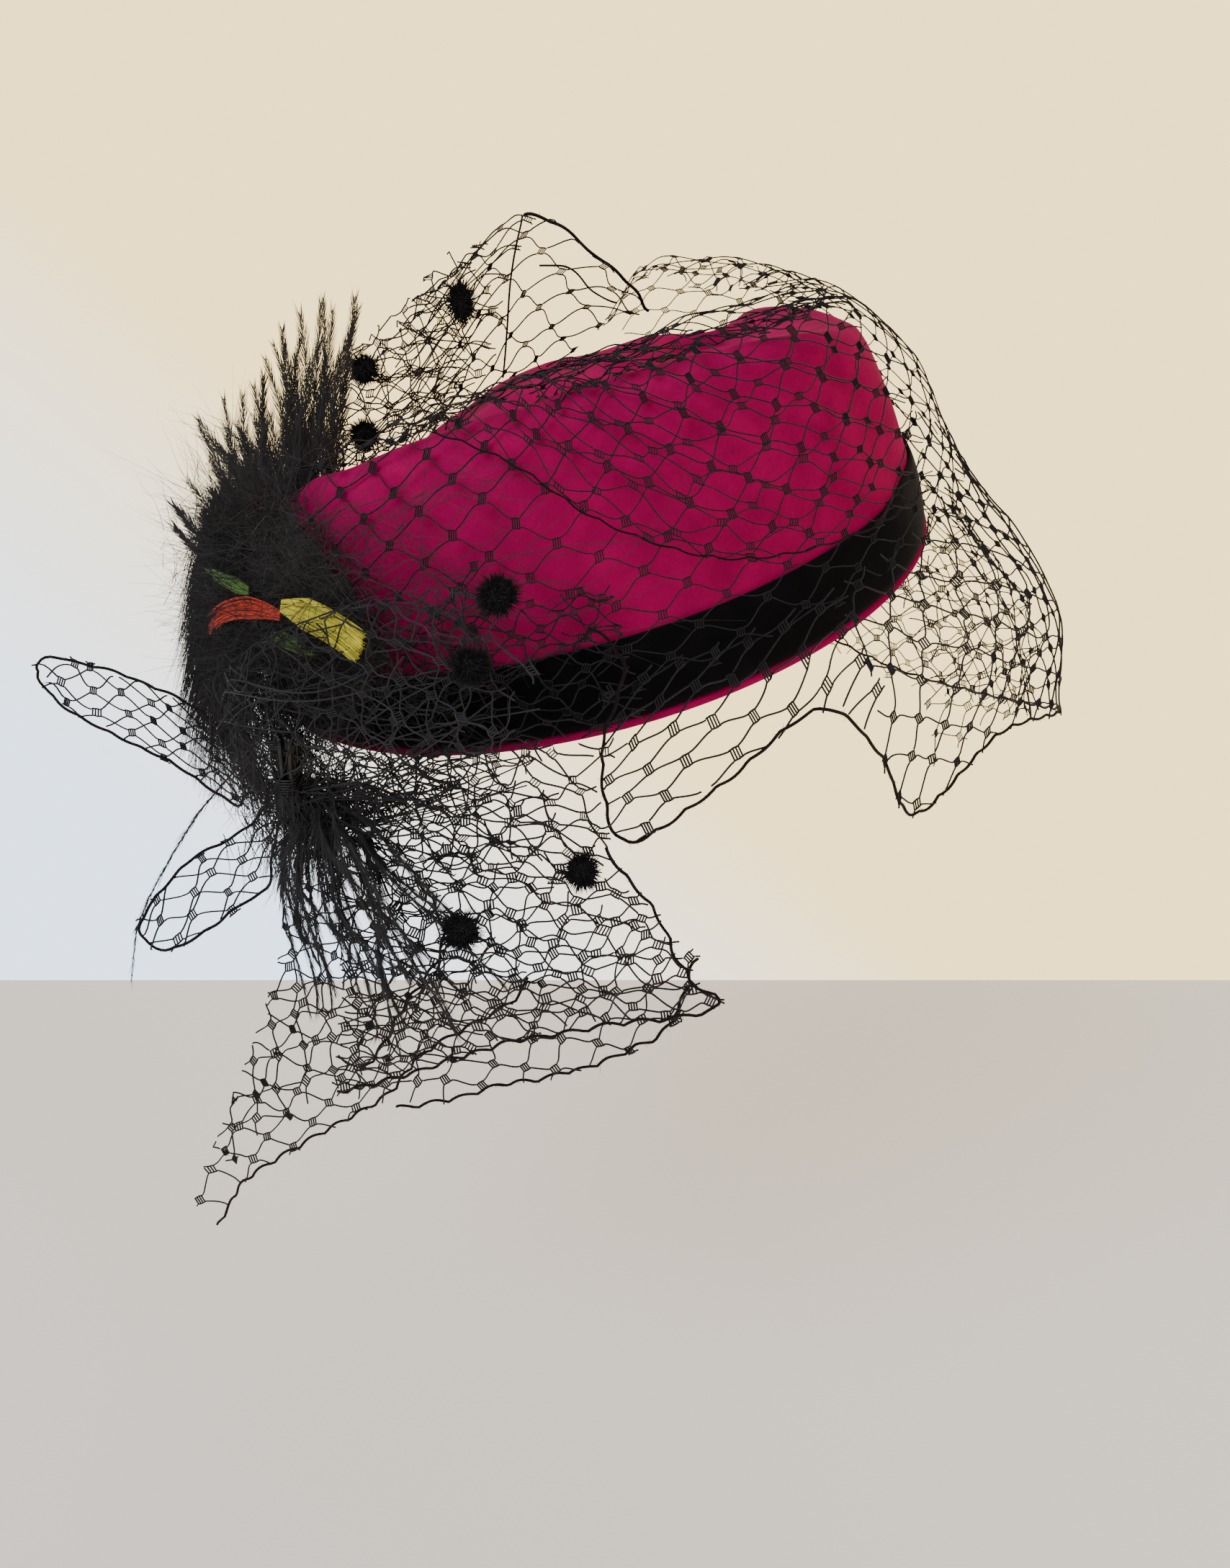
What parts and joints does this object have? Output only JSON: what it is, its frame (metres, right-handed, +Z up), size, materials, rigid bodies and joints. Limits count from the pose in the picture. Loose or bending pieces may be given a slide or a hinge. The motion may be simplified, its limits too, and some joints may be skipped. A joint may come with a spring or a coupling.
{
  "type": "toque hat with veiling",
  "caption": "Oval felt toque with a pinched crown, a velvet band, diamond veiling with a face veil and hanging ends, chenille dots and a feather spray at one side.",
  "frame": {"origin": "centre of the head opening, on the plane of the band's lower edge, where it sits on the head", "axes": "+Z up, -Y the wearer's front, +X the wearer's left; the hat is stored tilted as it is worn, left side up and front down"},
  "size_m": [0.3029, 0.2155, 0.2957],
  "materials": {
    "felt": "wool felt, soft matt nap",
    "velvet": "silk velvet pile",
    "net": "diamond veiling, matt thread; the solid is the sheet that the open net lies in",
    "chenille": "cut chenille tufts",
    "feather": "hackle barbs, dull sheen",
    "feather_yellow": "dyed feather",
    "feather_red": "dyed feather",
    "feather_green": "dyed feather"
  },
  "bodies": {
    "root": {"crown": "felt", "velvet_band": "velvet", "veil_face": "net", "veil_crown_layer": "net", "veil_puff": "net", "veil_gather": "net", "veil_tie": "net", "veil_loop_high": "net", "veil_loop_low": "net", "veil_wing_front": "net", "veil_wing_back": "net", "veil_tail": "net", "chenille_dot_1": "chenille", "chenille_dot_2": "chenille", "chenille_dot_3": "chenille", "chenille_dot_4": "chenille", "chenille_dot_5": "chenille", "chenille_dot_6": "chenille", "chenille_dot_7": "chenille", "feather_pad": "feather", "plume_up": "feather", "feather_fringe": "feather", "plume_down": "feather", "quill_bundle": "feather", "feather_yellow": "feather_yellow", "feather_red": "feather_red", "feather_green_upper": "feather_green", "feather_green_lower": "feather_green"}
  },
  "joints": []
}
